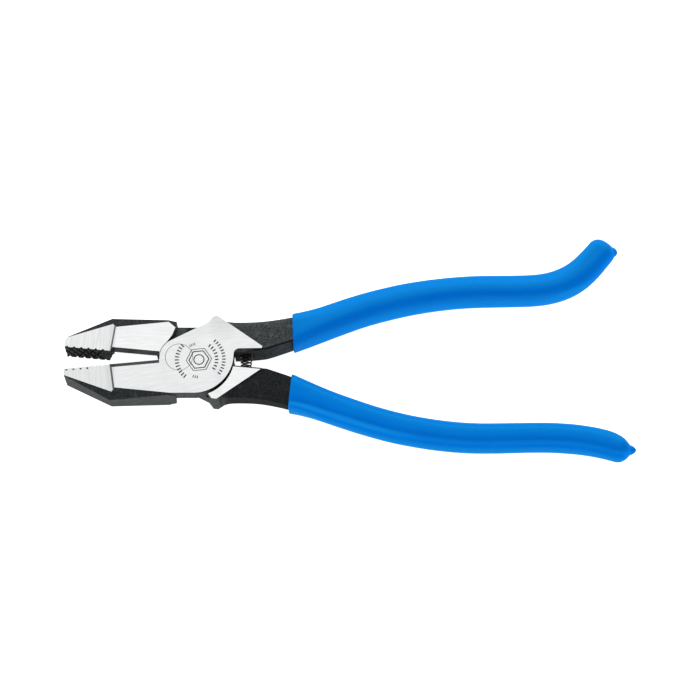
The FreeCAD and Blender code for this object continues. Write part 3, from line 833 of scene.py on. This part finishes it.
def finish_forging(node, turn, lit_tones, marked):
    """Gives a forged half its steel, and bevels its sharp edges with a dark, a little rubbed edge that is
    painted edge shade.
    """
    piece = frame["nodes"][node]
    piece.data.materials.clear()
    piece.data.materials.append(steel(node + "_steel", turn, lit_tones, marked))
    piece.data.materials.append(rubbed_shaded_edge(node + "_edge"))
    smooth_by_angle(piece)
    # Painted edge shade: the bevels take the dark, a little rubbed edge material.
    bevel = piece.modifiers.new("rubbed_shaded_edges", "BEVEL")
    bevel.width = EDGE_WIDTH * MM
    bevel.segments = 2
    bevel.limit_method = "ANGLE"
    bevel.angle_limit = math.radians(EDGE_ANGLE)
    bevel.material = 1
    bevel.harden_normals = True


def finish_rivet():
    piece = frame["nodes"]["pivot_rivet"]
    piece.data.materials.clear()
    piece.data.materials.append(rivet_steel())
    smooth_by_angle(piece)


def make_grips():
    rows = [
        ("hook_grip", (HOOK_LINE, HOOK_DIP, HOOK_LEAN, HOOK_DRIP, 0.0, HOOK_ROLL, False, OPEN_HALF),
         HOOK_LIGHT_BANDS, "hook_side", "hook_dip"),
        ("straight_grip",
         (STRAIGHT_LINE, STRAIGHT_DIP, 0.0, STRAIGHT_DRIP, STRAIGHT_TAPER, 0.0, True, -OPEN_HALF),
         STRAIGHT_LIGHT_BANDS, "straight_side", "straight_dip"),
    ]
    for node, drawn, light_bands, body, slot in rows:
        piece = grip(node + "_skin", *drawn)
        piece.data.materials.append(blue_dip(node + "_dip", light_bands))
        smoother = piece.modifiers.new("smooth", "SUBSURF")
        smoother.levels = 1
        smoother.render_levels = 1
        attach(piece, body)
        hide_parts(node)


def make_spring():
    piece = spring()
    piece.data.materials.append(spring_steel())
    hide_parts("return_spring")


# ---- studio ---------------------------------------------------------------------------------------
def camera():
    data = bpy.data.cameras.new("camera")
    data.lens = FOCAL
    data.sensor_width = SENSOR
    data.clip_end = 10.0
    piece = linked("camera", data)
    # The shared frame's axes as the camera sees them, each by its parts to the right, down and ahead.
    z_axis = -Vector((
        math.sin(CAMERA_TILT) * math.sin(CAMERA_ROLL),
        math.sin(CAMERA_TILT) * math.cos(CAMERA_ROLL),
        math.cos(CAMERA_TILT),
    ))
    x_axis = Vector((1.0, 0.0, -math.tan(CAMERA_TILT) * math.sin(CAMERA_ROLL))).normalized()
    y_axis = z_axis.cross(x_axis)
    turn = Matrix((x_axis, y_axis, z_axis)) @ Matrix.Diagonal((1, -1, -1))
    piece.matrix_world = Matrix.Translation(CAMERA_PLACE) @ turn.to_4x4()
    bpy.context.scene.camera = piece


def softbox(name, place, size, power):
    """A rectangular light aimed at the middle of the tool."""
    data = bpy.data.lights.new(name, "AREA")
    data.shape = "RECTANGLE"
    data.size, data.size_y = size
    data.energy = power
    piece = linked(name, data)
    piece.location = place
    piece.rotation_mode = "QUATERNION"
    piece.rotation_quaternion = (Vector(STUDIO_MIDDLE) - Vector(place)).to_track_quat("-Z", "Y")


def pale_floor():
    """A floor bright enough to vanish into the background."""
    t = Tree("pale_floor")
    colour = t.mix(t.noise(8.0), grey(0.80), grey(0.84))
    glow = (1.0, 1.0, 1.0, 1.0)
    return t.finish(Base_Color=colour, Roughness=0.9, Emission_Color=glow, Emission_Strength=FLOOR_GLOW)


def studio():
    r = FLOOR_REACH
    floor_mesh = bpy.data.meshes.new("floor")
    floor_mesh.from_pydata([(-r, -r, 0), (r, -r, 0), (r, r, 0), (-r, r, 0)], [], [(0, 1, 2, 3)])
    floor = linked("floor", floor_mesh)
    floor_mesh.materials.append(pale_floor())
    world = bpy.data.worlds.new("studio")
    bpy.context.scene.world = world
    world.use_nodes = True
    background = world.node_tree.nodes["Background"].inputs
    background["Color"].default_value = WORLD_COLOUR
    background["Strength"].default_value = WORLD_POWER
    for light in LIGHTS:
        softbox(*light)
    bpy.context.scene.view_settings.view_transform = "Standard"


camera()
finish_forging("hook_half", OPEN_HALF, HOOK_LIT_TONES, True)
finish_forging("straight_half", -OPEN_HALF, STRAIGHT_LIT_TONES, False)
finish_rivet()
make_grips()
make_spring()
studio()
